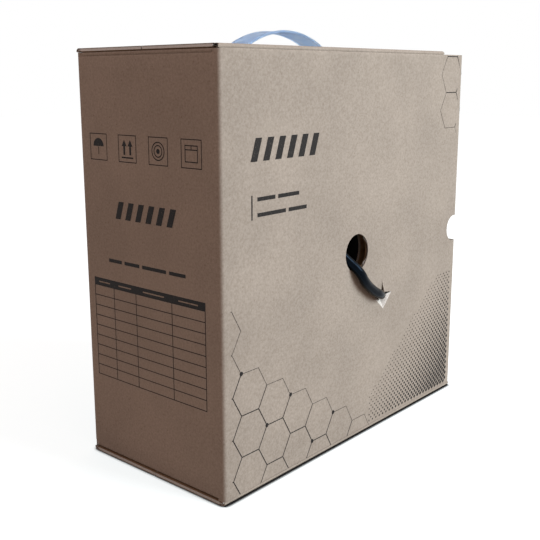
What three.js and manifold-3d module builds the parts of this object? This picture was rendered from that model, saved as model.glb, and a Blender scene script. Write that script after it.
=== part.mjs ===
// Cable spool box: a corrugated carton with a carrying strap, and in it a spool of cable
// that turns on a fixed tube. Millimetres, +Z up, +X right along the wide front face, which
// looks towards -Y. The origin is on the floor, under the middle of the carton.
import * as THREE from 'three';
import { mergeVertices } from 'three/addons/utils/BufferGeometryUtils.js';
import Module from 'manifold-3d';

const wasm = await Module();
wasm.setup();

// Carton
const boxWidth = 360;
const boxDepth = 166;
const boxHeight = 360;
const board = 3;
const seam = 0.3;
const flapGap = 1;
const minorFlapLength = 80;
const minorFlapSideGap = 4.5;
const frontFlapCutback = 38;
const flapChamfer = 4;
const sidePanelLift = 1.6;
const sidePanelChamfer = 5;
const glueTabWidth = 35;
const cutOverrun = 2;

// Openings in the front face. The payout hole is on the spool's axis, a little off the middle.
const spoolOffsetX = -3.5;
const spoolOffsetZ = -1;
const payoutRadius = 17.5;
const notchOffsetZ = -2;
const notchRadius = 13.5;
const notchFrontDepth = 19;
const notchSideDepth = 20;
const punctureOffsetX = 42.5;
const punctureDrop = 48;
const punctureRadius = 11;

// Strap handle on the rear top flap
const strapWidth = 24;
const strapThickness = 2.5;
const strapY = 14;
const strapHalfSpan = 57;
const strapRise = 17;
const strapLegRise = 2;
const strapFootReach = 9;
const strapFootThickness = 2;

// Spool, on its tube and support board. The spool is as large as fits in the carton.
const spoolClearance = 7.7;
const flangeThickness = 8;
const leadChannel = 12;
const boltEndGap = 0.7;
const tubeOuterRadius = 27;
const tubeWall = 3;
const tubeProud = 0.5;
const runningGap = 0.3;
const supportWidth = 200;
const supportThickness = 5;
const supportGlueGap = 0.4;
const barrelRadius = 65;
const barrelWall = 4;
const boltCircleRadius = 46;
const boltRadius = 3;
const boltHeadRadius = 6;
const boltHeadHeight = 3.3;
const boltCount = 4;
const nutAcrossFlats = 10;
const nutHeight = 5;
const boltEndProud = 0.6;

// Cable
const cableDiameter = 9;
const flangeMargin = 25;
const leastTurnGap = 0.5;
const layerEndShare = 1 / 18;
const loopSteps = 24;
const cableSides = 6;
const leadSides = 8;
const meetingGap = 0.3;
const leadExitShare = 0.81;

const cableRadius = cableDiameter / 2;
const innerFrontY = -boxDepth / 2 + board;
const innerBackY = boxDepth / 2 - board;
const supportBackY = innerBackY - supportGlueGap;
const supportFrontY = supportBackY - supportThickness;

// The spool's pieces along Y: its front disc leaves the lead's channel free, and its bolts'
// ends stop short of the support board
const frontFlangeY = innerFrontY + leadChannel;
const barrelFrontY = frontFlangeY + flangeThickness + seam;
const boltEndY = supportFrontY - boltEndGap;
const nutY = boltEndY - boltEndProud - nutHeight;
const rearFlangeY = nutY - seam - flangeThickness;
const barrelBackY = rearFlangeY - seam;

// Heights of the walls, and of the inner flaps at the top and the bottom
const halfWidth = boxWidth / 2;
const halfDepth = boxDepth / 2;
const panelFoot = board + seam;
const panelHead = boxHeight - board - seam;
const minorTopBase = panelHead - board;
const minorBottomBase = panelFoot;
const minorBottomTop = minorBottomBase + board;

const spoolX = spoolOffsetX;
const spoolZ = boxHeight / 2 + spoolOffsetZ;
const notchZ = boxHeight / 2 + notchOffsetZ;
const punctureX = spoolX + punctureOffsetX;
const punctureZ = spoolZ - punctureDrop;
const sideRoom = halfWidth - board - Math.abs(spoolX);
const uprightRoom = Math.min(spoolZ - minorBottomTop, minorTopBase - spoolZ);
const flangeRadius = Math.min(sideRoom, uprightRoom) - spoolClearance;
const packRadius = flangeRadius - flangeMargin;

const kraft = { color: 0xb3a390, roughness: 0.9, metalness: 0 };
const kraftDark = { color: 0x9c8468, roughness: 0.92, metalness: 0 };
const plywood = { color: 0xc9a877, roughness: 0.7, metalness: 0 };
const blueFilm = { color: 0xa4c2e2, roughness: 0.35, metalness: 0 };
const blackJacket = { color: 0x0d1016, roughness: 0.3, metalness: 0 };
const zincSteel = { color: 0xa8abb0, roughness: 0.4, metalness: 0.9 };

const right = new THREE.Vector3(1, 0, 0);
const back = new THREE.Vector3(0, 1, 0);
const up = new THREE.Vector3(0, 0, 1);
const front = back.clone().negate();

// How a drawn outline lies: its across and upright directions, then the way its thickness goes
const facing = {
  front: [right, up, front],
  side: [back, up, right],
  level: [right, back, up],
};

const box = new THREE.Group();

function addMesh(name, geometry, finish) {
  const mesh = new THREE.Mesh(geometry, new THREE.MeshStandardMaterial(finish));
  mesh.name = name;
  box.add(mesh);
  return mesh;
}

// A sheet cut to an outline. The base is where its first face lies along its thickness.
function addSheet(name, shape, thickness, base, directions, finish) {
  const geometry = new THREE.ExtrudeGeometry(shape, {
    depth: thickness,
    bevelEnabled: false,
    curveSegments: loopSteps,
  });
  const mesh = addMesh(name, geometry, finish);
  mesh.quaternion.setFromRotationMatrix(new THREE.Matrix4().makeBasis(...directions));
  mesh.position.copy(directions[2]).multiplyScalar(base);
  return mesh;
}

function outline(points) {
  return new THREE.Shape(points.map(([across, upright]) => new THREE.Vector2(across, upright)));
}

function roundHole(across, upright, radius) {
  const hole = new THREE.Path();
  hole.absarc(across, upright, radius, 0, 2 * Math.PI, false);
  return hole;
}

// Turned pieces lie along Y, on the spool's axis
function addTurned(name, profile, finish, segments) {
  const points = profile.map(([radius, y]) => new THREE.Vector2(radius, y));
  const mesh = addMesh(name, new THREE.LatheGeometry(points, segments), finish);
  mesh.position.set(spoolX, 0, spoolZ);
}

function ringProfile(innerRadius, outerRadius, startY, endY) {
  return [
    [innerRadius, startY], [outerRadius, startY], [outerRadius, endY],
    [innerRadius, endY], [innerRadius, startY],
  ];
}

function toSolid(geometry) {
  geometry.deleteAttribute('normal');
  geometry.deleteAttribute('uv');
  const merged = mergeVertices(geometry);
  const vertProperties = new Float32Array(merged.attributes.position.array);
  const triVerts = new Uint32Array(merged.index.array);
  return new wasm.Manifold(new wasm.Mesh({ numProp: 3, vertProperties, triVerts }));
}

function toGeometry(solid) {
  const mesh = solid.getMesh();
  const geometry = new THREE.BufferGeometry();
  geometry.setAttribute('position', new THREE.BufferAttribute(new Float32Array(mesh.vertProperties), 3));
  geometry.setIndex(new THREE.BufferAttribute(new Uint32Array(mesh.triVerts), 1));
  geometry.computeVertexNormals();
  return geometry;
}

// Wall panels: the front and back run the full width, the sides fit between them
const frontShape = outline([[-halfWidth, panelHead], [-halfWidth, panelFoot], [halfWidth, panelFoot]]);
const frontNotchX = halfWidth - notchFrontDepth + notchRadius;
frontShape.lineTo(halfWidth, notchZ - notchRadius);
frontShape.lineTo(frontNotchX, notchZ - notchRadius);
frontShape.absarc(frontNotchX, notchZ, notchRadius, -Math.PI / 2, Math.PI / 2, true);
frontShape.lineTo(halfWidth, notchZ + notchRadius);
frontShape.lineTo(halfWidth, panelHead);
frontShape.holes.push(roundHole(spoolX, spoolZ, payoutRadius));
frontShape.holes.push(roundHole(punctureX, punctureZ, punctureRadius));
addSheet('front_panel', frontShape, board, halfDepth - board, facing.front, kraft);

const backShape = outline([
  [-halfWidth, panelFoot], [halfWidth, panelFoot], [halfWidth, panelHead], [-halfWidth, panelHead],
]);
addSheet('back_panel', backShape, board, -halfDepth, facing.front, kraft);

const sideHalfDepth = halfDepth - board - seam;
const sideFoot = panelFoot + sidePanelLift;
const leftShape = outline([
  [-sideHalfDepth, sideFoot], [sideHalfDepth - sidePanelChamfer, sideFoot],
  [sideHalfDepth, sideFoot + sidePanelChamfer], [sideHalfDepth, panelHead], [-sideHalfDepth, panelHead],
]);
addSheet('left_panel', leftShape, board, -halfWidth, facing.side, kraft);

const rightShape = outline([
  [-sideHalfDepth, panelHead],
  [-sideHalfDepth, notchZ + notchRadius],
]);
const sideNotchY = -halfDepth + notchSideDepth - notchRadius;
rightShape.lineTo(sideNotchY, notchZ + notchRadius);
rightShape.absarc(sideNotchY, notchZ, notchRadius, Math.PI / 2, -Math.PI / 2, true);
rightShape.lineTo(-sideHalfDepth, notchZ - notchRadius);
rightShape.lineTo(-sideHalfDepth, sideFoot);
rightShape.lineTo(sideHalfDepth - sidePanelChamfer, sideFoot);
rightShape.lineTo(sideHalfDepth, sideFoot + sidePanelChamfer);
rightShape.lineTo(sideHalfDepth, panelHead);
addSheet('right_panel', rightShape, board, halfWidth - board, facing.side, kraft);

// Glued tab that joins the right panel to the back one, inside the rear corner
const minorDepthHalf = halfDepth - board - minorFlapSideGap;
const innerHalfWidth = halfWidth - board - seam;
const tabFoot = minorBottomTop + seam + seam;
const tabHead = minorTopBase - seam - seam;
const tabShape = outline([
  [innerHalfWidth - glueTabWidth, tabFoot + flapChamfer], [innerHalfWidth, tabFoot],
  [innerHalfWidth, tabHead], [innerHalfWidth - glueTabWidth, tabHead - flapChamfer],
]);
addSheet('glue_tab', tabShape, board, -(innerBackY - seam), facing.front, kraftDark);

// Outer flaps, full width and half the depth. The front top one stops short on the right.
function majorOutline(side, rightEnd, chamfer) {
  const nearSeam = side * flapGap / 2;
  const atFold = side * halfDepth;
  const points = [
    [-halfWidth, atFold], [rightEnd, atFold],
    [rightEnd - chamfer, nearSeam], [-halfWidth, nearSeam],
  ];
  return outline(side < 0 ? points : points.reverse());
}

addSheet('bottom_front_flap', majorOutline(-1, halfWidth, 0), board, 0, facing.level, kraft);
addSheet('bottom_back_flap', majorOutline(1, halfWidth, 0), board, 0, facing.level, kraft);
const topBase = boxHeight - board;
const frontFlapShape = majorOutline(-1, halfWidth - frontFlapCutback, flapChamfer);
addSheet('top_front_flap', frontFlapShape, board, topBase, facing.level, kraft);

// The rear one has two slots for the handle's legs
const slotWidth = strapThickness + 2 * runningGap;
const slotLength = strapWidth + 2 * runningGap;
const rearFlap = new THREE.ExtrudeGeometry(majorOutline(1, halfWidth, 0), {
  depth: board,
  bevelEnabled: false,
});
rearFlap.translate(0, 0, topBase);
let slottedFlap = toSolid(rearFlap);
for (const side of [-1, 1]) {
  const slot = new THREE.BoxGeometry(slotWidth, slotLength, board + 2 * cutOverrun);
  slot.translate(side * strapHalfSpan, strapY, topBase + board / 2);
  slottedFlap = slottedFlap.subtract(toSolid(slot));
}
addMesh('top_back_flap', toGeometry(slottedFlap), kraft);

// Inner flaps on the short sides, under the outer ones
function minorOutline(side) {
  const foldX = side * innerHalfWidth;
  const tipX = side * (innerHalfWidth - minorFlapLength);
  const points = [
    [foldX, -minorDepthHalf], [tipX, -minorDepthHalf + flapChamfer],
    [tipX, minorDepthHalf - flapChamfer], [foldX, minorDepthHalf],
  ];
  return outline(side < 0 ? points : points.reverse());
}

for (const [place, side] of [['left', -1], ['right', 1]]) {
  addSheet(`bottom_${place}_flap`, minorOutline(side), board, minorBottomBase, facing.level, kraftDark);
  addSheet(`top_${place}_flap`, minorOutline(side), board, minorTopBase, facing.level, kraftDark);
}

// Strap handle: an arch whose legs go through the flap's slots and spread into feet below it
const strapHalf = strapThickness / 2;
const legTopZ = boxHeight + strapLegRise;
const archRise = strapRise - strapLegRise;
const archRadius = (strapHalfSpan ** 2 + archRise ** 2) / (2 * archRise);
const archCentreZ = legTopZ + archRise - archRadius;
const archHalfAngle = Math.asin(strapHalfSpan / archRadius);
const footTopZ = topBase - runningGap;
const footBottomZ = footTopZ - strapFootThickness;
const archSteps = loopSteps;

function archPoint(radius, share) {
  const angle = archHalfAngle * share;
  return [radius * Math.sin(angle), archCentreZ + radius * Math.cos(angle)];
}

const strapPoints = [];
for (let step = 1; step < archSteps; step += 1) {
  strapPoints.push(archPoint(archRadius + strapHalf, 1 - 2 * step / archSteps));
}
strapPoints.push(
  [-strapHalfSpan - strapHalf, legTopZ], [-strapHalfSpan - strapHalf, footTopZ],
  [-strapHalfSpan - strapFootReach, footTopZ], [-strapHalfSpan - strapFootReach, footBottomZ],
  [-strapHalfSpan + strapFootReach, footBottomZ], [-strapHalfSpan + strapFootReach, footTopZ],
  [-strapHalfSpan + strapHalf, footTopZ], [-strapHalfSpan + strapHalf, legTopZ],
);
for (let step = 1; step < archSteps; step += 1) {
  strapPoints.push(archPoint(archRadius - strapHalf, -1 + 2 * step / archSteps));
}
strapPoints.push(
  [strapHalfSpan - strapHalf, legTopZ], [strapHalfSpan - strapHalf, footTopZ],
  [strapHalfSpan - strapFootReach, footTopZ], [strapHalfSpan - strapFootReach, footBottomZ],
  [strapHalfSpan + strapFootReach, footBottomZ], [strapHalfSpan + strapFootReach, footTopZ],
  [strapHalfSpan + strapHalf, footTopZ], [strapHalfSpan + strapHalf, legTopZ],
);
const strapBackY = strapY + strapWidth / 2;
addSheet('handle_strap', outline(strapPoints), strapWidth, -strapBackY, facing.front, blueFilm);

// Support board, glued to the back panel, with the fixed tube standing in it
const supportHalf = supportWidth / 2;
const supportShape = outline([
  [spoolX - supportHalf, spoolZ - supportHalf], [spoolX + supportHalf, spoolZ - supportHalf],
  [spoolX + supportHalf, spoolZ + supportHalf], [spoolX - supportHalf, spoolZ + supportHalf],
]);
supportShape.holes.push(roundHole(spoolX, spoolZ, tubeOuterRadius + runningGap));
addSheet('support_board', supportShape, supportThickness, -supportBackY, facing.front, plywood);

const roundSegments = 2 * loopSteps;
const tubeFrontY = frontFlangeY - tubeProud;
const tubeShape = ringProfile(tubeOuterRadius - tubeWall, tubeOuterRadius, tubeFrontY, supportBackY);
addTurned('spindle_tube', tubeShape, kraftDark, roundSegments);

// Spool: two plywood discs clamped on a paper barrel by four bolts
const boltPlaces = [];
for (let index = 0; index < boltCount; index += 1) {
  const angle = (2 * index + 1) * Math.PI / boltCount;
  boltPlaces.push([boltCircleRadius * Math.cos(angle), boltCircleRadius * Math.sin(angle)]);
}

function flangeShape() {
  const shape = new THREE.Shape();
  shape.absarc(spoolX, spoolZ, flangeRadius, 0, 2 * Math.PI, false);
  shape.holes.push(roundHole(spoolX, spoolZ, tubeOuterRadius + runningGap));
  return shape;
}

// A bolt's room: its shank, and a countersink where the head lies flush with the face
function boltRoom(headY, endY, clearance, segments) {
  const shank = boltRadius + clearance;
  const head = boltHeadRadius + clearance;
  const profile = [
    [0, headY - (clearance > 0 ? cutOverrun : 0)],
    [head, headY - (clearance > 0 ? cutOverrun : 0)],
    [head, headY], [shank, headY + boltHeadHeight], [shank, endY], [0, endY],
  ];
  const points = profile.filter((point, index) => clearance > 0 || index !== 2);
  return new THREE.LatheGeometry(points.map(([radius, y]) => new THREE.Vector2(radius, y)), segments);
}

const boltSegments = 12;
function addFlange(name, startY, headY, endY) {
  const disc = new THREE.ExtrudeGeometry(flangeShape(), {
    depth: flangeThickness,
    bevelEnabled: false,
    curveSegments: roundSegments,
  });
  const directions = new THREE.Matrix4().makeBasis(...facing.front);
  disc.applyMatrix4(directions);
  disc.translate(0, startY + flangeThickness, 0);
  let solid = toSolid(disc);
  for (const [offsetX, offsetZ] of boltPlaces) {
    const room = boltRoom(headY, endY, runningGap, boltSegments);
    room.translate(spoolX + offsetX, 0, spoolZ + offsetZ);
    solid = solid.subtract(toSolid(room));
  }
  addMesh(name, toGeometry(solid), plywood);
}

addFlange('front_flange', frontFlangeY, frontFlangeY, barrelFrontY + cutOverrun);
addFlange('rear_flange', rearFlangeY, barrelBackY - flangeThickness, nutY + cutOverrun);

const barrelShape = ringProfile(barrelRadius - barrelWall, barrelRadius, barrelFrontY, barrelBackY);
addTurned('spool_barrel', barrelShape, kraftDark, roundSegments);

const nutSides = 6;
const nutRadius = nutAcrossFlats / 2 / Math.cos(Math.PI / nutSides);
boltPlaces.forEach(([offsetX, offsetZ], index) => {
  const boltX = spoolX + offsetX;
  const boltZ = spoolZ + offsetZ;
  const boltForm = boltRoom(frontFlangeY, boltEndY, 0, boltSegments);
  const bolt = addMesh(`tie_bolt_${index + 1}`, boltForm, zincSteel);
  bolt.position.set(boltX, 0, boltZ);
  const corners = [];
  for (let corner = 0; corner < nutSides; corner += 1) {
    const angle = corner * 2 * Math.PI / nutSides;
    corners.push([boltX + nutRadius * Math.cos(angle), boltZ + nutRadius * Math.sin(angle)]);
  }
  const nutShape = outline(corners);
  nutShape.holes.push(roundHole(boltX, boltZ, boltRadius + runningGap));
  addSheet(`tie_nut_${index + 1}`, nutShape, nutHeight, -(nutY + nutHeight), facing.front, zincSteel);
});

// Cable on the spool: the packed layers as a plain ring, and the outer layer as one long tube
const packBore = barrelRadius + runningGap;
const packShape = ringProfile(packBore, packRadius, barrelFrontY + seam, barrelBackY - seam);
addTurned('cable_pack', packShape, blackJacket, roundSegments);

// The straight steps of a loop stay clear of the pack at their middles
const layerRadius = (packRadius + meetingGap + cableRadius) / Math.cos(Math.PI / loopSteps);
const layerFrontY = barrelFrontY + meetingGap + cableRadius;
const layerBackY = barrelBackY - meetingGap - cableRadius;
const halfTurnCount = Math.floor(2 * (layerBackY - layerFrontY) / (cableDiameter + leastTurnGap));
const turnCount = halfTurnCount / 2;

// The outer layer turns clockwise, seen from the front, as it comes forward
const layerEndAngle = Math.PI * (1 + layerEndShare);
const layerStartAngle = layerEndAngle + 2 * Math.PI * turnCount;
function layerPoint(share) {
  const angle = layerStartAngle + (layerEndAngle - layerStartAngle) * share;
  return new THREE.Vector3(
    spoolX + layerRadius * Math.cos(angle),
    layerBackY + (layerFrontY - layerBackY) * share,
    spoolZ + layerRadius * Math.sin(angle),
  );
}

// A tube through points, with flat ends. Each ring is square to its point's direction, and
// none of these tubes starts along Y.
function tubeAlong(points, directions, radius, sides) {
  const rings = points.length;
  const positions = [];
  const indices = [];
  const normal = back.clone();
  directions.forEach((tangent, index) => {
    normal.addScaledVector(tangent, -normal.dot(tangent)).normalize();
    const across = new THREE.Vector3().crossVectors(tangent, normal);
    for (let side = 0; side < sides; side += 1) {
      const angle = 2 * Math.PI * side / sides;
      const place = points[index].clone();
      place.addScaledVector(normal, radius * Math.cos(angle));
      place.addScaledVector(across, radius * Math.sin(angle));
      positions.push(place.x, place.y, place.z);
    }
  });
  for (let ring = 0; ring < rings - 1; ring += 1) {
    for (let side = 0; side < sides; side += 1) {
      const a = ring * sides + side;
      const b = ring * sides + (side + 1) % sides;
      indices.push(a, b, b + sides, a, b + sides, a + sides);
    }
  }
  const lastRing = (rings - 1) * sides;
  for (let side = 1; side < sides - 1; side += 1) {
    indices.push(0, side + 1, side);
    indices.push(lastRing, lastRing + side, lastRing + side + 1);
  }
  const geometry = new THREE.BufferGeometry();
  geometry.setAttribute('position', new THREE.Float32BufferAttribute(positions, 3));
  geometry.setIndex(indices);
  geometry.computeVertexNormals();
  return geometry;
}

const layerPoints = [];
const layerSteps = Math.round(turnCount * loopSteps);
for (let step = 0; step <= layerSteps; step += 1) {
  layerPoints.push(layerPoint(step / layerSteps));
}
const startDirection = new THREE.Vector3(Math.sin(layerStartAngle), 0, -Math.cos(layerStartAngle));
const endDirection = new THREE.Vector3(Math.sin(layerEndAngle), 0, -Math.cos(layerEndAngle));
layerPoints.unshift(layerPoints[0].clone().addScaledVector(startDirection, -cableDiameter));
layerPoints.push(layerPoints[layerPoints.length - 1].clone().addScaledVector(endDirection, cableDiameter));
const layerDirections = layerPoints.map((point, index) => {
  const before = layerPoints[Math.max(index - 1, 0)];
  const after = layerPoints[Math.min(index + 1, layerPoints.length - 1)];
  return after.clone().sub(before).normalize();
});
addMesh('cable_outer_layer', tubeAlong(layerPoints, layerDirections, cableRadius, cableSides), blackJacket);

let leastGap = Infinity;
const farSteps = Math.round(loopSteps / 2);
layerPoints.forEach((point, index) => {
  for (let other = index + farSteps; other < layerPoints.length; other += 1) {
    leastGap = Math.min(leastGap, point.distanceTo(layerPoints[other]) - cableDiameter);
  }
});
console.log(`cable_outer_layer least gap to itself ${leastGap.toFixed(2)} mm`);
const layerEnd = layerPoints[layerPoints.length - 1];
console.log(`outer layer ends at ${layerEnd.toArray().map((value) => value.toFixed(2))}`);
console.log(`end direction ${endDirection.toArray().map((value) => value.toFixed(3))}`);

// The lead from the layer's end over the front disc's rim and down to the payout hole,
// then out of the hole and into the puncture in the front face
const leadRoute = [
  [-148.95, -54.9, 162.8], [-150.9, -54.9, 174], [-153.6, -54.9, 191], [-156.7, -54.9, 212],
  [-159.7, -55.2, 232.5], [-162.2, -56.6, 246.5], [-164, -60.2, 259], [-163.8, -65.2, 271],
  [-160.6, -69.6, 283], [-153.8, -72.3, 293.6], [-143.8, -73.5, 301.6], [-131.5, -73.6, 305],
  [-118.6, -73.6, 303.2], [-107, -73.6, 296.6], [-96, -73.6, 286], [-84, -73.6, 271.6],
  [-72, -73.6, 256.6], [-59, -73.6, 238.6], [-45.4, -73.6, 219.7], [-32.9, -73.6, 201.7],
  [-24.6, -73.7, 189.7], [-20.5, -74.5, 183.7], [-16.4, -77.1, 177.6], [-12.4, -81.8, 171.5],
  [-8.3, -86.8, 165.5], [-4.1, -89.1, 159.6], [0.4, -89.4, 153.7], [5.7, -89.2, 148.7],
  [11.5, -89.1, 144.3], [17.6, -89.1, 140.2], [24.1, -89.1, 136.8], [30.7, -87.6, 133.9],
  [37, -83.7, 131.6], [42.6, -78.3, 129.8],
];

const leadCurve = new THREE.CatmullRomCurve3(leadRoute.map((point) => new THREE.Vector3(...point)));
const leadLength = leadCurve.getLength();
const leadSteps = Math.round(leadLength / cableDiameter);
const exitStep = Math.round(leadSteps * leadExitShare);

function addLead(name, firstStep, lastStep, startGap) {
  const points = [];
  const directions = [];
  for (let step = firstStep; step <= lastStep; step += 1) {
    const direction = leadCurve.getTangentAt(step / leadSteps);
    const point = leadCurve.getPointAt(step / leadSteps);
    directions.push(direction);
    points.push(step === firstStep ? point.addScaledVector(direction, startGap) : point);
  }
  addMesh(name, tubeAlong(points, directions, cableRadius, leadSides), blackJacket);
}

addLead('cable_lead_inside', 0, exitStep, 0);
addLead('cable_lead_outside', exitStep, leadSteps, meetingGap);
const outsideShare = (leadSteps - exitStep) / leadSteps;
console.log(`lead ${leadLength.toFixed(1)} mm, outside ${(leadLength * outsideShare).toFixed(1)} mm`);
const exitPoint = leadCurve.getPointAt(exitStep / leadSteps);
console.log(`lead leaves the hole at ${exitPoint.toArray().map((value) => value.toFixed(2))}`);

export default box;
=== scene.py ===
import math

import bpy
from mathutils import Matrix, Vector


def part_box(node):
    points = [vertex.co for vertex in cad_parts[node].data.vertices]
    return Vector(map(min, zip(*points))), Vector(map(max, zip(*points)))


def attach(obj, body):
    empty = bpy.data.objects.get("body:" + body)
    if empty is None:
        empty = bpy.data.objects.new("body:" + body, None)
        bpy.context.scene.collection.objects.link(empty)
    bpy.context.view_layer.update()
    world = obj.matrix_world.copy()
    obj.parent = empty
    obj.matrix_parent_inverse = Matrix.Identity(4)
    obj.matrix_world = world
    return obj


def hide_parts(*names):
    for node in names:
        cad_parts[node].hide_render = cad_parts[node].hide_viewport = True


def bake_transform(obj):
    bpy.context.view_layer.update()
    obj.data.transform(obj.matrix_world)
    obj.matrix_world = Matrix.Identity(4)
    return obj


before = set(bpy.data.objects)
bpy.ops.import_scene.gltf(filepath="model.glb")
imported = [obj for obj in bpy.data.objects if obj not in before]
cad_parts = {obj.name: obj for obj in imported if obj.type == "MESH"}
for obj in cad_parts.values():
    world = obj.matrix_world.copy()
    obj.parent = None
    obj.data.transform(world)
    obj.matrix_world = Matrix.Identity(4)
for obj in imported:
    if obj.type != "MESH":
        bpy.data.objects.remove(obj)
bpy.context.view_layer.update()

# Camera. It stands in front of the near left corner, a little lower than the carton's top, where
# the photograph was taken from. The lens shift puts the carton in the same place in the frame.
camera_place = (-0.6184, -0.50747, 0.336)
camera_turn = [math.radians(angle) for angle in (78.078, 0.264, -48.509)]
bpy.ops.object.select_all(action="DESELECT")
bpy.ops.object.camera_add(location=camera_place, rotation=camera_turn)
camera = bpy.context.object
camera.data.lens = 55.637
camera.data.sensor_width = 36
camera.data.shift_x = 0.02314
camera.data.shift_y = -0.03142
bpy.context.scene.camera = camera
bpy.context.scene.view_settings.view_transform = "Standard"

# Cable. One length of 9 mm round cable in an extruded black polyethylene jacket. It comes off the
# spool, crosses inside the front wall to the payout hole, and its end is tucked into a puncture.
cable_diameter = 0.009
cable_points = [
    (-0.14895, -0.0549, 0.1628), (-0.1509, -0.0549, 0.174), (-0.1536, -0.0549, 0.191),
    (-0.1567, -0.0549, 0.212), (-0.1597, -0.0552, 0.2325), (-0.1622, -0.0566, 0.2465),
    (-0.164, -0.0602, 0.259), (-0.1638, -0.0652, 0.271), (-0.1606, -0.0696, 0.283),
    (-0.1538, -0.0723, 0.2936), (-0.1438, -0.0735, 0.3016), (-0.1315, -0.0736, 0.305),
    (-0.1186, -0.0736, 0.3032), (-0.107, -0.0736, 0.2966), (-0.096, -0.0736, 0.286),
    (-0.084, -0.0736, 0.2716), (-0.072, -0.0736, 0.2566), (-0.059, -0.0736, 0.2386),
    (-0.0454, -0.0736, 0.2197), (-0.0329, -0.0736, 0.2017), (-0.0246, -0.0737, 0.1897),
    (-0.0205, -0.0745, 0.1837), (-0.0164, -0.0771, 0.1776), (-0.0124, -0.0818, 0.1715),
    (-0.0083, -0.0868, 0.1655), (-0.0041, -0.0891, 0.1596), (0.0004, -0.0894, 0.1537),
    (0.0057, -0.0892, 0.1487), (0.0115, -0.0891, 0.1443), (0.0176, -0.0891, 0.1402),
    (0.0241, -0.0891, 0.1368), (0.0307, -0.0876, 0.1339), (0.037, -0.0837, 0.1316),
    (0.0426, -0.0783, 0.1298),
]
inside_share = 38 / 47


def smooth_route(points, steps):
    """A smooth line through the points, which bends evenly however far apart they lie."""
    first = points[0] * 2 - points[1]
    last = points[-1] * 2 - points[-2]
    through = [first, *points, last]
    route = []
    for index in range(len(points) - 1):
        p0, p1, p2, p3 = through[index:index + 4]
        t1 = math.sqrt((p1 - p0).length)
        t2 = t1 + math.sqrt((p2 - p1).length)
        t3 = t2 + math.sqrt((p3 - p2).length)
        for step in range(steps):
            t = t1 + (t2 - t1) * step / steps
            a1 = p0.lerp(p1, t / t1)
            a2 = p1.lerp(p2, (t - t1) / (t2 - t1))
            a3 = p2.lerp(p3, (t - t2) / (t3 - t2))
            b1 = a1.lerp(a2, t / t2)
            b2 = a2.lerp(a3, (t - t1) / (t3 - t1))
            route.append(b1.lerp(b2, (t - t1) / (t2 - t1)))
    return [*route, points[-1]]


def route_length(route):
    return sum((end - start).length for start, end in zip(route, route[1:]))


def split_route(route, share):
    """The route up to a share of its length, and the rest of it. Both hold the point between."""
    left = route_length(route) * share
    for index, (start, end) in enumerate(zip(route, route[1:])):
        step = (end - start).length
        if step >= left:
            middle = start.lerp(end, left / step)
            return [*route[:index + 1], middle], [middle, *route[index + 1:]]
        left -= step
    return route, route[-1:]


def add_cable(name, route, diameter, finish):
    """A round cable along a route, with closed ends."""
    line = bpy.data.curves.new(name, "CURVE")
    line.dimensions = "3D"
    line.bevel_depth = diameter / 2
    line.bevel_resolution = 6
    line.use_fill_caps = True
    spline = line.splines.new("POLY")
    spline.points.add(len(route) - 1)
    for point, place in zip(spline.points, route):
        point.co = (*place, 1)
    spline.use_smooth = True
    line.materials.append(finish)
    cable = bpy.data.objects.new(name, line)
    bpy.context.collection.objects.link(cable)
    return cable


def colour(code):
    """The linear colour of an sRGB hex value."""
    channels = [int(code[start:start + 2], 16) / 255 for start in (0, 2, 4)]
    linear = [c / 12.92 if c <= 0.04045 else ((c + 0.055) / 1.055) ** 2.4 for c in channels]
    return [*linear, 1]


def new_finish(name):
    """A material, and its main shader."""
    finish = bpy.data.materials.new(name)
    finish.use_nodes = True
    return finish, finish.node_tree.nodes["Principled BSDF"]


def set_inputs(owner, node, inputs):
    """Sets inputs of a node. A socket is linked, and so is a node, by its first output."""
    for name, value in inputs.items():
        if isinstance(value, bpy.types.Node):
            value = value.outputs[0]
        if isinstance(value, bpy.types.NodeSocket):
            owner.node_tree.links.new(value, node.inputs[name])
        else:
            node.inputs[name].default_value = value


def add_node(owner, kind, inputs, **settings):
    """Adds a node to a material or the world with its settings, its plain inputs and its links."""
    node = owner.node_tree.nodes.new("ShaderNode" + kind)
    for name, value in settings.items():
        setattr(node, name, value)
    set_inputs(owner, node, inputs)
    return node


def polyethylene_jacket():
    # Extruded black polyethylene: deep black and smooth, with a gloss along its length, a faint
    # grain and dull rubbed patches. The gloss is tinted pale blue: a painted reflection of cool light.
    finish, shader = new_finish("polyethylene_jacket")
    place = add_node(finish, "TexCoord", {}).outputs["Object"]
    grain = add_node(finish, "TexNoise", {"Vector": place, "Scale": 900, "Detail": 3})
    rubbed = add_node(finish, "TexNoise", {"Vector": place, "Scale": 55, "Detail": 4})
    dull = add_node(finish, "MapRange", {
        "Value": rubbed, "From Min": 0.35, "From Max": 0.7, "To Min": 0.1, "To Max": 0.2,
    })
    bump = add_node(finish, "Bump", {"Height": grain, "Strength": 0.25, "Distance": 0.00008})
    # The pale blue specular tint is a painted reflection of cool light
    set_inputs(finish, shader, {
        "Base Color": colour("050608"), "Specular IOR Level": 0.085, "Specular Tint": colour("a8d0ff"),
        "Roughness": dull, "Normal": bump,
    })
    return finish


jacket = polyethylene_jacket()
cable_route = smooth_route([Vector(point) for point in cable_points], 8)
inside_route, outside_route = split_route(cable_route, inside_share)
cable_inside = add_cable("cable_inside_carton", inside_route, cable_diameter, jacket)
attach(cable_inside, "carton")
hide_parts("cable_lead_inside")
cable_outside = add_cable("cable_outside_carton", outside_route, cable_diameter, jacket)
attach(cable_outside, "carton")
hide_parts("cable_lead_outside")
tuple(outside_route[0])
route_length(outside_route)

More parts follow.
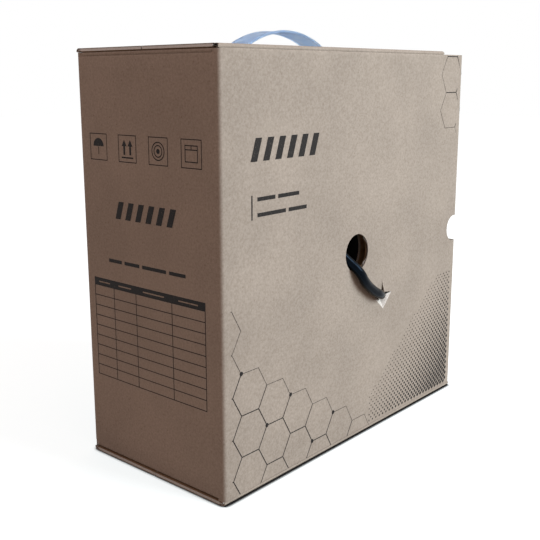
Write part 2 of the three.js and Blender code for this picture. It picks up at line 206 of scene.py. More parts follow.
# Corrugated board. Brown kraft paper, three layers: two flat liners glued to a wavy middle one.
# The waves run up the walls, and on over the folds into the flaps. All is 3 mm thick.
board = 0.003
liner = 0.00035
middle_paper = 0.00025
flute_pitch = 0.0065
flute_clearance = 0.00002
flute_height = board / 2 - liner - middle_paper / 2 - flute_clearance
flute_steps = 8
end_slope = 0.0004
fold_radius = 0.0032
fold_arc = fold_radius * math.pi / 2
crease_depth = 0.0006
crease_width = 0.0006
crushed_share = 0.2
crushed_fade = 0.004
cut_overrun = 0.004
board_smooth = math.radians(40)


def kraft_liner(name, light, dark, fleck, flutes):
    # Kraft paper: matte, a mottle of long wood fibres with dark flecks of bark. The real fibres
    # are 0.05 mm wide, and are drawn a few times as coarse so that they show. The waves of the
    # middle layer show through a little as shallow stripes.
    finish, shader = new_finish(name)
    place = add_node(finish, "TexCoord", {}).outputs["Object"]
    mottle = add_node(finish, "TexNoise", {"Vector": place, "Scale": 560, "Detail": 5, "Roughness": 0.7})
    patches = add_node(finish, "TexNoise", {"Vector": place, "Scale": 14, "Detail": 3})
    grain = add_node(finish, "TexNoise", {"Vector": place, "Scale": 1300, "Detail": 3})
    shade = add_node(finish, "MapRange", {"Value": mottle, "From Min": 0.33, "From Max": 0.67})
    tone = add_node(finish, "MixRGB", {"Fac": shade, "Color1": colour(dark), "Color2": colour(light)})
    patch = add_node(finish, "MapRange", {
        "Value": patches, "From Min": 0.35, "From Max": 0.65,
        "To Min": 0.93, "To Max": 1.05,
    })
    evened = add_node(finish, "MixRGB", {
        "Fac": 1, "Color1": tone, "Color2": patch,
    }, blend_type="MULTIPLY")
    cells = add_node(finish, "TexVoronoi", {"Vector": place, "Scale": 300, "Randomness": 1})
    chosen = add_node(finish, "SeparateColor", {"Color": cells.outputs["Color"]})
    near = add_node(finish, "MapRange", {
        "Value": cells.outputs["Distance"], "From Min": 0.12, "From Max": 0.3,
        "To Min": 1, "To Max": 0,
    })
    rare = add_node(finish, "MapRange", {
        "Value": chosen.outputs["Red"], "From Min": 0.8, "From Max": 1, "To Max": 0.4,
    })
    flecks = add_node(finish, "Math", {0: near, 1: rare}, operation="MULTIPLY")
    flecked = add_node(finish, "MixRGB", {"Fac": flecks, "Color1": evened, "Color2": colour(fleck)})
    turns = Vector(flutes) * math.tau / flute_pitch
    phase = add_node(finish, "VectorMath", {0: place, 1: turns}, operation="DOT_PRODUCT")
    waves = add_node(finish, "Math", {0: phase.outputs["Value"]}, operation="SINE")
    relief = add_node(finish, "Math", {0: waves, 1: 0.22, 2: grain}, operation="MULTIPLY_ADD")
    bump = add_node(finish, "Bump", {"Height": relief, "Strength": 0.35, "Distance": 0.00012})
    set_inputs(finish, shader, {
        "Roughness": 0.82, "Specular IOR Level": 0.15, "Base Color": flecked, "Normal": bump,
    })
    return finish


liner_light = "bcb2a7"
liner_dark = "a3988c"
liner_fleck = "85786a"
wall_liner = kraft_liner("kraft_liner_walls", liner_light, liner_dark, liner_fleck, (1, 1, 0))
long_flap_liner = kraft_liner("kraft_liner_long_flaps", liner_light, liner_dark, liner_fleck, (1, 0, 0))
short_flap_liner = kraft_liner(
    "kraft_liner_short_flaps", liner_light, liner_dark, liner_fleck, (0, 1, 0))
# Pale paper made paler and bluer still: painted light, so cut edges look top-lit and grey in shade
middle_layer = kraft_liner("recycled_middle_paper_with_painted_light", "f0f6f6", "e2e8e7", "c9cdca", (0, 0, 0))
inner_liner = kraft_liner("kraft_liner_inside", "a58f76", "8c765e", "5f4f3f", (1, 1, 0))


def take(piece):
    """Selects one object alone and makes it the active one."""
    bpy.ops.object.select_all(action="DESELECT")
    piece.select_set(True)
    bpy.context.view_layer.objects.active = piece


def finish_modifier(piece, modifier):
    take(piece)
    bpy.ops.object.modifier_apply(modifier=modifier.name)


def join_pieces(name, pieces):
    take(pieces[0])
    for piece in pieces:
        piece.select_set(True)
    bpy.ops.object.join()
    pieces[0].name = name
    return pieces[0]


def add_sheet(name, across, along, place, thickness, side):
    """A sheet of paper. place gives the point for each stop across and along. Its thickness lies
    behind those points with side -1, in front of them with 1, and both ways with 0."""
    bpy.ops.object.select_all(action="DESELECT")
    columns = len(across) - 1
    rows = len(along) - 1
    bpy.ops.mesh.primitive_grid_add(x_subdivisions=columns, y_subdivisions=rows, size=2)
    sheet = bpy.context.object
    sheet.name = name
    for vertex in sheet.data.vertices:
        column = round((vertex.co.x + 1) / 2 * columns)
        row = round((vertex.co.y + 1) / 2 * rows)
        vertex.co = place(across[column], along[row])
    paper = sheet.modifiers.new("paper", "SOLIDIFY")
    paper.thickness = thickness
    paper.offset = side
    finish_modifier(sheet, paper)
    return sheet


def add_outlines(name, outlines, half_height):
    """Flat shapes with closed outlines, as one mesh, that reach as far below the flat as above."""
    line = bpy.data.curves.new(name, "CURVE")
    line.dimensions = "2D"
    line.fill_mode = "BOTH"
    line.extrude = half_height
    for outline in outlines:
        spline = line.splines.new("POLY")
        spline.points.add(len(outline) - 1)
        for point, (x, y) in zip(spline.points, outline):
            point.co = (x, y, 0, 1)
        spline.use_cyclic_u = True
    shape = bpy.data.objects.new(name, line)
    bpy.context.collection.objects.link(shape)
    take(shape)
    bpy.ops.object.convert(target="MESH")
    shape = bpy.context.object
    bpy.ops.object.mode_set(mode="EDIT")
    bpy.ops.mesh.select_all(action="SELECT")
    bpy.ops.mesh.remove_doubles(threshold=0.000001)
    if half_height > 0:
        bpy.ops.mesh.normals_make_consistent(inside=False)
    bpy.ops.object.mode_set(mode="OBJECT")
    if half_height == 0 and shape.data.polygons[0].normal.z < 0:
        shape.data.flip_normals()
    return shape


def cut_out(piece, outlines):
    """Die-cuts outlines out of a flat piece of board."""
    if not outlines:
        return
    die = add_outlines("die", outlines, 2 * board)
    knife = piece.modifiers.new("die_cut", "BOOLEAN")
    knife.operation = "DIFFERENCE"
    knife.solver = "EXACT"
    knife.object = die
    finish_modifier(piece, knife)
    bpy.data.objects.remove(die)


def add_board(name, across, along, outlines, outer_finish, place, crushed=0, hollows=((), ())):
    """A piece of corrugated board, made flat with its outer face up and its waves along it, then
    die-cut and folded. place gives where a point of the flat board goes. Its waves are crushed as
    far along it as the fold reaches. hollows are more cuts, in the outer liner alone and in the
    layers under it."""
    outer = add_sheet(name, across, along, lambda x, y: (x, y, 0), liner, -1)
    inner = add_sheet(name + "_inner", across, along, lambda x, y: (x, y, -board), liner, 1)
    first_crest = across[0] + end_slope
    last_crest = across[-1] - end_slope
    pitch = (last_crest - first_crest) / round((last_crest - first_crest) / flute_pitch)
    fine = [across[0], *stops(first_crest, last_crest, pitch / flute_steps), across[-1]]

    def wave(x, y):
        crest = math.cos(math.tau * (x - first_crest) / pitch) if first_crest <= x <= last_crest else -1
        whole = min(1, max(crushed_share, (y - crushed) / crushed_fade)) if crushed else 1
        return (x, y, flute_height * crest * whole - board / 2)

    middle = add_sheet(name + "_middle", fine, along, wave, middle_paper, 0)
    layers = [outer, middle, inner]
    skin, core = hollows
    cuts = ([*outlines, *skin], [*outlines, *core], [*outlines, *core])
    for layer, finish, cut in zip(layers, (outer_finish, middle_layer, inner_liner), cuts):
        cut_out(layer, cut)
        layer.data.materials.append(finish)
        for vertex in layer.data.vertices:
            vertex.co = place(*vertex.co)
        take(layer)
        bpy.ops.object.shade_smooth_by_angle(angle=board_smooth)
    return join_pieces(name, layers)


def stops(start, end, spacing):
    """Even stops from start to end, no further apart than the spacing."""
    count = max(1, math.ceil((end - start) / spacing))
    return [start + (end - start) * step / count for step in range(count + 1)]


def crease(distance):
    """How far the outer face is pressed in at a distance from a scored fold."""
    return crease_depth * math.exp(-(distance / crease_width) ** 2)


# Walls. The carton's four walls and the glue tab are one strip of board, scored and folded
# round at the upright edges. It is die-cut flat: payout hole, corner notch, slots and corners.
front_low, front_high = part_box("front_panel")
side_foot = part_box("left_panel")[0].z
tab_low, tab_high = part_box("glue_tab")
half_width = front_high.x
half_depth = -front_low.y
wall_foot = front_low.z
wall_head = front_high.z
side_head = wall_head - fold_radius - 0.0001
panel_bulge = 0.0004
panel_spacing = 0.03
wall_corners = [
    (half_width, half_depth), (-half_width, half_depth), (-half_width, -half_depth),
    (half_width, -half_depth), (half_width, tab_high.y), (tab_low.x, tab_high.y),
]
wall_names = ["back", "left", "front", "right", "tab"]
wall_stretches = []
wall_across = [0]
run = 0
for index, name in enumerate(wall_names):
    begin = Vector(wall_corners[index])
    end = Vector(wall_corners[index + 1])
    heading = (end - begin).normalized()
    if index > 0:
        begin += heading * fold_radius
    if index < len(wall_names) - 1:
        end -= heading * fold_radius
    length = (end - begin).length
    wall_stretches.append((name, run, run + length, begin, heading))
    wall_across += stops(run, run + length, panel_spacing)[1:]
    run += length
    if index < len(wall_names) - 1:
        wall_across += stops(run, run + fold_arc, fold_arc / 8)[1:]
        run += fold_arc
wall_start = {name: start for name, start, _, _, _ in wall_stretches}
front_flap_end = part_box("top_front_flap")[1].x


def wall_place(run, height, rise):
    """Where a point of the flat strip goes when the strip is folded round the carton."""
    for name, start, stop, begin, heading in wall_stretches:
        outward = Vector((heading.y, -heading.x))
        if run <= stop or name == wall_names[-1]:
            share = (run - start) / (stop - start)
            lift = (height - wall_foot) / (wall_head - wall_foot)
            if name != "tab":
                rise += panel_bulge * (1 - (2 * share - 1) ** 2) * (1 - (2 * lift - 1) ** 2)
            flat = begin + heading * (run - start)
            scored = name != "front" or flat.x < front_flap_end
            side = name in ("left", "right")
            rise -= crease(height - (side_foot if side else wall_foot))
            if scored:
                rise -= crease((side_head if side else wall_head) - height)
            flat += outward * rise
            return Vector((flat.x, flat.y, height))
        if run <= stop + fold_arc:
            angle = (run - stop) / fold_radius
            centre = begin + heading * (stop - start) - outward * fold_radius
            turned = outward * math.cos(angle) + heading * math.sin(angle)
            flat = centre + turned * (fold_radius + rise)
            return Vector((flat.x, flat.y, height))


def front_run(x):
    return wall_start["front"] + x + half_width - fold_radius


def left_run(y):
    return wall_start["left"] + half_depth - fold_radius - y


def right_run(y):
    return wall_start["right"] + y + half_depth - fold_radius


def disc(x, y, radius, sides):
    angles = [math.tau * side / sides for side in range(sides)]
    return [(x + radius * math.cos(angle), y + radius * math.sin(angle)) for angle in angles]


def round_ended(left, right, y, radius, steps):
    """A slot's outline, with round ends that reach left and right."""
    outline = []
    for step in range(steps + 1):
        angle = math.pi * step / steps - math.pi / 2
        outline.append((right - radius + radius * math.cos(angle), y + radius * math.sin(angle)))
    for step in range(steps + 1):
        angle = math.pi * step / steps + math.pi / 2
        outline.append((left + radius + radius * math.cos(angle), y + radius * math.sin(angle)))
    return outline


payout_centre = (-0.0035, 0.179)
payout_radius = 0.0175
notch_height = 0.178
notch_radius = 0.0135
notch_front = 0.161
notch_side = -0.063
slot_edge = 0.0758
slot_floor = wall_head - 0.0003
corner_cut = 0.0045
tab_slope = 0.004
puncture_top = (0.0388, 0.1465)
puncture_right = (0.056, 0.1314)
puncture_bottom = (0.042, 0.1173)
puncture_left = (0.0262, 0.1311)


def wall_cuts():
    """The outlines that the die takes out of the strip of walls."""
    above = wall_head + cut_overrun
    below = wall_foot - cut_overrun
    corner = side_foot + corner_cut
    past_near = left_run(-half_depth)
    past_far = left_run(half_depth)
    near = left_run(-slot_edge)
    far = left_run(slot_edge)
    cuts = [
        [(far, side_head), (near, side_head), (near, slot_floor), (past_near, slot_floor),
         (past_near, above), (past_far, above), (past_far, slot_floor), (far, slot_floor)],
        [(past_far, below), (near, below), (near, side_foot), (far, side_foot),
         (left_run(slot_edge + corner_cut), corner), (past_far, corner)],
        round_ended(front_run(notch_front), right_run(notch_side), notch_height, notch_radius, 16),
        disc(front_run(payout_centre[0]), payout_centre[1], payout_radius, 64),
        [(front_run(x), z) for x, z in (puncture_top, puncture_right, puncture_bottom, puncture_left)],
    ]
    near = right_run(-slot_edge)
    tab_fold = wall_start["tab"] - fold_arc
    tab_end = wall_across[-1]
    past_end = tab_end + cut_overrun
    cuts += [
        [(right_run(-half_depth), slot_floor), (near, slot_floor), (near, side_head),
         (tab_fold, side_head), (tab_fold, tab_high.z), (tab_end, tab_high.z - tab_slope),
         (past_end, tab_high.z - tab_slope), (past_end, above), (right_run(-half_depth), above)],
        [(near, below), (past_end, below), (past_end, tab_low.z + tab_slope),
         (tab_end, tab_low.z + tab_slope), (tab_fold, tab_low.z), (tab_fold, side_foot),
         (near, side_foot)],
    ]
    return cuts


wall_along = [
    wall_foot, wall_foot + crease_width, wall_foot + 2 * crease_width, side_foot,
    side_foot + crease_width, side_foot + 2 * crease_width,
    *stops(0.02, 0.34, panel_spacing),
    side_head - 2 * crease_width, side_head - crease_width, side_head,
    wall_head - 2 * crease_width, wall_head - crease_width, wall_head,
]
walls = add_board("carton_walls", wall_across, wall_along, wall_cuts(), wall_liner, wall_place)
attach(walls, "carton")
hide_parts("front_panel", "back_panel", "left_panel", "right_panel", "glue_tab")

# Puncture. A hole pushed through the front wall by hand, for the cable's end. The board tears
# crosswise: two tongues of crushed board above, and a dent below that shows the torn core. The
# core's near-white colour is partly its own pale fibres and partly a painted highlight.
crushed_board = 0.0013
tongue_stops = stops(0, 1, 1 / 12)


def torn_core(name, light, dark):
    # Torn paper: the pale raw fibres inside the board, matte, with a coarse fuzz of loose ends. Its
    # near-white tone is partly a painted highlight.
    finish, shader = new_finish(name)
    place = add_node(finish, "TexCoord", {}).outputs["Object"]
    fibres = add_node(finish, "TexNoise", {"Vector": place, "Scale": 700, "Detail": 6, "Roughness": 0.75})
    shade = add_node(finish, "MapRange", {"Value": fibres, "From Min": 0.36, "From Max": 0.6})
    tone = add_node(finish, "MixRGB", {"Fac": shade, "Color1": colour(dark), "Color2": colour(light)})
    bump = add_node(finish, "Bump", {"Height": fibres, "Strength": 0.6, "Distance": 0.0004})
    set_inputs(finish, shader, {
        "Roughness": 0.9, "Specular IOR Level": 0.1, "Base Color": tone, "Normal": bump,
    })
    return finish


def on_front(place, push):
    """A point of the front face, pushed into the carton."""
    return wall_place(front_run(place[0]), place[1], 0) + Vector((0, push, 0))


def between(stations, share):
    """The point at a share of the way through stations, each a share and a point."""
    for (start, first), (end, second) in zip(stations, stations[1:]):
        if share <= end:
            return first.lerp(second, (share - start) / (end - start))
    return stations[-1][1]


def add_tongue(name, foot, edge, curl, finish):
    """A torn tongue of board between its foot and its free edge, each a list of stations. Its push
    into the carton grows towards the edge, faster with a higher curl."""
    def place(share, reach):
        low = between(foot, share)
        point = low.lerp(between(edge, share), reach)
        point.y = low.y + (between(edge, share).y - low.y) * reach ** curl
        return point

    tongue = add_sheet(name, tongue_stops, tongue_stops, place, crushed_board, -1)
    tongue.data.materials.append(finish)
    bpy.ops.object.shade_smooth_by_angle(angle=board_smooth)
    return tongue


dent_push = 0.006
dent_bottom = (0.043, 0.124)
dent_shoulder = (0.0495, 0.1302)
dent_near = (0.0338, 0.1288)
left_tip = (0.0405, 0.1345)
right_tip = (0.0428, 0.1336)
left_push = 0.0018
right_push = -0.0006
blunt = Vector((0.0004, 0, 0))
# The dent's near-white torn core is partly a painted highlight
dent = add_tongue(
    "puncture_dent",
    [(0, on_front(puncture_left, 0)), (0.5, on_front(puncture_bottom, 0)), (1, on_front(puncture_right, 0))],
    [(0, on_front(puncture_left, 0.0001)), (0.2, on_front(dent_near, dent_push / 4)),
     (0.45, on_front(dent_bottom, dent_push)),
     (0.75, on_front(dent_shoulder, dent_push / 4)), (1, on_front(puncture_right, 0.0001))],
    1.3, torn_core("torn_board_core_with_painted_highlight", "f2efea", "cfc9c0"))
left_tongue = add_tongue(
    "puncture_left_tongue",
    [(0, on_front(puncture_top, 0)), (1, on_front(puncture_left, 0))],
    [(0, on_front(left_tip, left_push) + blunt), (1, on_front(left_tip, left_push))], 1.6, wall_liner)
right_tongue = add_tongue(
    "puncture_right_tongue",
    [(0, on_front(puncture_right, 0)), (1, on_front(puncture_top, 0))],
    [(0, on_front(right_tip, right_push) + blunt), (1, on_front(right_tip, right_push))], 1.6, wall_liner)
puncture = join_pieces("puncture_tongues", [dent, left_tongue, right_tongue])
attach(puncture, "carton")

# Printing. One dark flexographic ink, printed on the flat board before it is folded: plain bars, a
# blank table, simple signs, a comb of cells and a fading field of dots.
ink_rise = 0.0001
print_spacing = 0.018
front_width = 2 * half_width
print_line = 0.0008


def flexographic_ink():
    # Water-based black ink on kraft: matte, soaked in, with specks where the paper shows through
    finish, shader = new_finish("flexographic_ink")
    place = add_node(finish, "TexCoord", {}).outputs["Object"]
    fibres = add_node(finish, "TexNoise", {"Vector": place, "Scale": 620, "Detail": 5, "Roughness": 0.7})
    gaps = add_node(finish, "MapRange", {
        "Value": fibres, "From Min": 0.58, "From Max": 0.72, "To Max": 0.3,
    })
    tone = add_node(finish, "MixRGB", {
        "Fac": gaps, "Color1": colour("1f1c1b"), "Color2": colour(liner_dark),
    })
    bump = add_node(finish, "Bump", {"Height": fibres, "Strength": 0.3, "Distance": 0.0001})
    set_inputs(finish, shader, {
        "Roughness": 0.7, "Specular IOR Level": 0.2, "Base Color": tone, "Normal": bump,
    })
    return finish


ink = flexographic_ink()


def slice_print(mark, lines, clear):
    """Cuts a flat print along lines, each a point and a direction, and may clear what is past them."""
    take(mark)
    bpy.ops.object.mode_set(mode="EDIT")
    for place, normal in lines:
        bpy.ops.mesh.select_all(action="SELECT")
        bpy.ops.mesh.bisect(plane_co=place, plane_no=normal, clear_outer=clear)
    bpy.ops.object.mode_set(mode="OBJECT")


def on_front_print(across):
    """The place along the strip for one measured across the front face from its left edge."""
    return front_run(across - half_width)


def on_left_print(across):
    """The place along the strip for one measured across the left face from its rear edge."""
    return left_run(half_depth - across)


def lay_print(name, outlines, run_of, rise, edges=()):
    """Ink on the outside of a wall, cut off at the edges given. It is cut into small fields first, so
    that it follows the bowed board under it."""
    mark = add_outlines(name, outlines, 0)
    slice_print(mark, [
        (Vector(normal) * reach, normal)
        for normal, length in (((1, 0, 0), front_width), ((0, 1, 0), wall_head))
        for reach in stops(0, length, print_spacing)[1:-1]
    ], False)
    if edges:
        slice_print(mark, edges, True)
    for vertex in mark.data.vertices:
        vertex.co = wall_place(run_of(vertex.co.x), vertex.co.y, rise)
    mark.data.materials.append(ink)
    return mark


def carry_print(mark):
    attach(mark, "carton")


def add_print(name, outlines, run_of):
    carry_print(lay_print(name, outlines, run_of, ink_rise))


def bar(left, low, right, high, slant=0):
    return [(left, low), (right, low), (right + slant, high), (left + slant, high)]


def ring(x, y, radius, line):
    return [disc(x, y, radius, 28), disc(x, y, radius - line, 28)]


def bars_between(left, right, low, high, count, width_share, slant):
    """Equal slanted bars that fill a field."""
    pitch = (right - left - slant) / (count - 1 + width_share)
    return [
        bar(left + pitch * index, low, left + pitch * (index + width_share), high, slant)
        for index in range(count)
    ]


def bar_row(left, middle, height, lengths, gap):
    """Short bars in one row."""
    outlines = []
    for length in lengths:
        outlines.append(bar(left, middle - height / 2, left + length, middle + height / 2))
        left += length + gap
    return outlines


add_print("front_band", bars_between(0.033, 0.1185, 0.2725, 0.2905, 6, 0.52, 0.006), on_front_print)
add_print("front_rule", [
    bar(0.0335, 0.2275, 0.0349, 0.2468),
    *bar_row(0.0405, 0.2432, 0.0032, (0.0215, 0.0265), 0.0035),
    *bar_row(0.0405, 0.2308, 0.0032, (0.0345, 0.0235), 0.0035),
], on_front_print)

table_left = 0.0111
table_right = 0.1482
table_low = 0.076
table_high = 0.1656
table_head = 0.0071
table_rows = 9
table_column_shares = (0, 0.19, 0.4, 0.72, 1)


def ruled_table():
    """The table's outline, its blank cells, and a gap over each column in its head."""
    outlines = [bar(table_left, table_low, table_right, table_high)]
    head_foot = table_high - table_head
    row = (head_foot - table_low) / table_rows
    width = table_right - table_left
    for start, end in zip(table_column_shares, table_column_shares[1:]):
        cell_left = table_left + width * start + print_line
        cell_right = table_left + width * end - (print_line if end == 1 else 0)
        for index in range(table_rows):
            cell_low = table_low + row * index + print_line
            outlines.append(bar(cell_left, cell_low, cell_right, table_low + row * (index + 1)))
        middle = (cell_left + cell_right) / 2
        reach = (cell_right - cell_left) * 0.3
        outlines.append(bar(middle - reach, head_foot + table_head * 0.42, middle + reach,
                            head_foot + table_head * 0.58))
    return outlines


add_print("side_table", ruled_table(), on_left_print)
add_print("side_line", bar_row(0.0325, 0.1832, 0.003, (0.017, 0.019, 0.029, 0.019), 0.0035), on_left_print)
add_print("side_band", bars_between(0.0435, 0.118, 0.2203, 0.2351, 6, 0.52, 0.005), on_left_print)

sign_size = 0.0224
sign_first = 0.0247
sign_step = 0.0371
sign_middle = 0.2794
sign_line = 0.0007


def arc(x, y, radius, start, end, steps):
    angles = [math.radians(start + (end - start) * step / steps) for step in range(steps + 1)]
    return [(x + radius * math.cos(angle), y + radius * math.sin(angle)) for angle in angles]


def arrow(x):
    return [(x - 0.0011, -0.005), (x + 0.0011, -0.005), (x + 0.0011, 0.002), (x + 0.003, 0.002),
            (x, 0.0074), (x - 0.003, 0.002), (x - 0.0011, 0.002)]


sign_half = sign_size / 2
sign_inner = sign_half - sign_line
sign_frame = [bar(-half, -half, half, half) for half in (sign_half, sign_inner)]
# Keep dry, this way up, a spool seen from its end, and a closed carton with its lid seam
sign_drawings = (
    [arc(0, 0.0005, 0.0068, 0, 180, 20), bar(-0.0004, -0.0062, 0.0004, 0.0001)],
    [bar(-0.0072, -0.0078, 0.0072, -0.0066), arrow(-0.0037), arrow(0.0037)],
    [*ring(0, 0, 0.0075, 0.0009), *ring(0, 0, 0.005, 0.0009), disc(0, 0, 0.002, 20)],
    [bar(-0.007, -0.0066, 0.007, 0.0066), bar(-0.0062, -0.0058, 0.0062, 0.0026),
     bar(-0.0062, 0.0034, -0.0004, 0.0058), bar(0.0004, 0.0034, 0.0062, 0.0058)],
)
signs = [
    [(sign_first + sign_step * index + x, sign_middle + y) for x, y in outline]
    for index, drawn in enumerate(sign_drawings)
    for outline in [*sign_frame, *drawn]
]
add_print("side_signs", signs, on_left_print)

comb_side = 0.0205
comb_line = 0.0009
comb_gap = 0.000005
comb_margin = 0.0008


def comb_field(chosen):
    """Thin six-sided cells, each drawn as its own ring, with dots on some of their corners."""
    cells = []
    dots = []
    for column in range(-1, 14):
        for row in range(-1, 12):
            x = comb_side * 1.5 * column
            y = comb_side * math.sqrt(3) * (row + (column % 2) / 2)
            if chosen(x, y):
                cells.append(disc(x, y, comb_side - comb_gap, 6))
                cells.append(disc(x, y, comb_side - comb_line / math.sqrt(3), 6))
                if (column + 2 * row) % 3 == 0:
                    dots.append(disc(x + comb_side, y, 0.0019, 16))
    return cells, dots


def add_pattern(name, outlines, rise):
    """A pattern on the front face, cut off just inside the face's edges."""
    right = front_width - comb_margin
    high = wall_head - comb_margin
    return lay_print(name, outlines, on_front_print, rise, (
        ((comb_margin, 0, 0), (-1, 0, 0)), ((right, 0, 0), (1, 0, 0)),
        ((0, wall_foot + comb_margin, 0), (0, -1, 0)), ((0, high, 0), (0, 1, 0))))


low_cells, low_dots = comb_field(lambda x, y: x / 0.2 + y / 0.145 < 1 and y > -0.01)
high_cells, high_dots = comb_field(lambda x, y: x > 0.315 and y > 0.27 and x + y > 0.63)
comb = join_pieces("front_comb", [
    add_pattern("front_comb", [*low_cells, *high_cells], ink_rise),
    add_pattern("front_comb_dots", [*low_dots, *high_dots], ink_rise * 1.5),
])
carry_print(comb)

tone_pitch = 0.006
tone_low = 0.008
tone_high = 0.135
tone_left = 0.2
tone_right = 0.354


def tone_field():
    """Small diamonds in staggered rows, larger towards the lower right corner."""
    outlines = []
    rows = int((tone_high - tone_low) / (tone_pitch / 2))
    columns = int((tone_right - tone_left) / tone_pitch)
    for row in range(rows):
        for column in range(columns):
            x = tone_left + tone_pitch * (column + (row % 2) / 2 + 0.5)
            y = tone_low + tone_pitch / 2 * row
            strength = (x - tone_left) / (tone_right - tone_left) - (y - tone_low) / (tone_high - tone_low)
            half = tone_pitch * (0.13 + 0.3 * (strength + 0.15))
            if half > tone_pitch * 0.12:
                half = min(half, tone_pitch * 0.4)
                outlines.append([(x - half, y), (x, y - half), (x + half, y), (x, y + half)])
    return outlines


carry_print(add_pattern("front_tone", tone_field(), ink_rise))

# Flaps. Each goes on from its wall over a scored fold: the short ones first, then the long ones
# over them, which meet along the middle. The top front one stops short of the right corner.
short_flap_reach = half_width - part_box("top_left_flap")[1].x * -1
short_flap_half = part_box("top_left_flap")[1].y
long_flap_reach = half_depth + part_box("top_front_flap")[1].y
tip_chamfer = 0.004
side_fold_inset = 0.0034
tight_radius = 0.0014


def folded_over(corner, up, out, radius):
    """How a flap goes over a wall's end. corner lies on the fold, where wall and flap would meet
    square, up goes along the wall to the fold, and out is the way that the wall faces. A tight
    fold goes straight on first, and is crushed on its inner side."""
    side = up.cross(out)
    centre = corner - (up + out) * radius
    straight = fold_radius - radius
    turned = straight + radius * math.pi / 2

    def place(across, along, rise):
        reach = radius + rise - crease(along)
        if along >= turned:
            return centre + side * across + up * reach - out * (along - turned)
        if along < straight:
            return centre + side * across + out * reach - up * (straight - along)
        if radius < board:
            reach = radius * math.exp(rise / radius)
        angle = (along - straight) / radius
        return centre + side * across + (out * math.cos(angle) + up * math.sin(angle)) * reach

    return place


def fold_length(radius):
    """The length of board from a flap's scored line to the end of its fold."""
    return fold_radius - radius + radius * math.pi / 2


def add_flap(node, start, end, reach, outlines, finish, corner, up, out, radius=fold_radius,
             hollows=((), ())):
    turned = fold_length(radius)
    length = reach - radius + turned
    first = max(0.0015, fold_radius - radius)
    along = [0, crease_width, 2 * crease_width, *stops(first, turned, fold_arc / 8),
             turned + 0.002, *stops(turned + crushed_fade, length, panel_spacing)]
    flap = add_board(node + "_board", stops(start, end, panel_spacing), along, outlines, finish,
                     folded_over(Vector(corner), Vector(up), Vector(out), radius), turned, hollows)
    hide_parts(node)
    return flap


def add_short_flap(node, corner, up, out, radius):
    """A short flap, with the corners cut off its tip."""
    half = short_flap_half
    tip = short_flap_reach - radius + fold_length(radius)
    past = tip + cut_overrun
    corners = [
        [(side * half, tip - tip_chamfer * 3), (side * (half + cut_overrun), tip - tip_chamfer * 3),
         (side * (half + cut_overrun), past), (side * (half - tip_chamfer), past),
         (side * (half - tip_chamfer), tip)][::side]
        for side in (-1, 1)
    ]
    return add_flap(node, -half, half, short_flap_reach, corners, short_flap_liner, corner, up, out, radius)


upward = (0, 0, 1)
downward = (0, 0, -1)
for side, edge in ((-1, "left"), (1, "right")):
    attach(add_short_flap(
        f"bottom_{edge}_flap", (side * (half_width - side_fold_inset), 0, wall_foot), downward,
        (side, 0, 0), fold_radius), "carton")
for side, edge in ((-1, "front"), (1, "back")):
    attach(add_flap(
        f"bottom_{edge}_flap", -half_width, half_width, long_flap_reach, [], long_flap_liner,
        (0, side * half_depth, 0), downward, (0, side, 0)), "carton")
for side, edge in ((-1, "left"), (1, "right")):
    flap = add_short_flap(
        f"top_{edge}_flap", (side * half_width, 0, wall_head), upward, (side, 0, 0), tight_radius)
    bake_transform(flap)

carton_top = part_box("top_front_flap")[1].z
long_flap_length = long_flap_reach - fold_radius + fold_arc
front_flap_slope = 0.004
past_end = -half_width - cut_overrun
open_end = (
    [[(past_end, 0.0022), (0.0013 - half_width, 0.0022), (0.0013 - half_width, 0.0062), (past_end, 0.0062)]],
    [[(past_end, 0.001), (0.008 - half_width, 0.001), (0.008 - half_width, 0.0075), (past_end, 0.0075)]],
)
past_seam = long_flap_length + cut_overrun
top_front = add_flap(
    "top_front_flap", -half_width, front_flap_end, long_flap_reach,
    [[(front_flap_end, 0.001), (front_flap_end + cut_overrun, 0.001),
      (front_flap_end + cut_overrun, past_seam), (front_flap_end - front_flap_slope, past_seam)]],
    long_flap_liner, (0, -half_depth, carton_top), upward, (0, -1, 0), hollows=open_end)
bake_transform(top_front)

strap_low, strap_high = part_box("handle_strap")
strap_y = (strap_low.y + strap_high.y) / 2
strap_half_span = 0.057
strap_slot_width = 0.0031
strap_slot_length = 0.0246


def strap_slots():
    """The two slots in the rear flap for the handle's legs."""
    middle = half_depth - strap_y - fold_radius + fold_arc
    low = middle - strap_slot_length / 2
    high = middle + strap_slot_length / 2
    slots = []
    for side in (-1, 1):
        middle = side * strap_half_span
        slots.append(bar(middle - strap_slot_width / 2, low, middle + strap_slot_width / 2, high))
    return slots


top_back = add_flap(
    "top_back_flap", -half_width, half_width, long_flap_reach, strap_slots(), long_flap_liner,
    (0, half_depth, carton_top), upward, (0, 1, 0))
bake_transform(top_back)

# Handle. One strap moulded in translucent blue polyethylene: a thin web between two beaded edges,
# bent over in an arch. Its legs go down through the rear flap, and feet under it hold them.
strap_width = strap_high.y - strap_low.y
strap_bead = 0.00125
strap_web = 0.0007
strap_apex = strap_high.z - strap_bead
leg_top = carton_top + 0.002
arch_rise = strap_apex - leg_top
arch_radius = (strap_half_span ** 2 + arch_rise ** 2) / (2 * arch_rise)
foot_reach = strap_high.x - strap_half_span
foot_thickness = 0.002
foot_rounding = 0.0006
strap_smooth = math.radians(35)


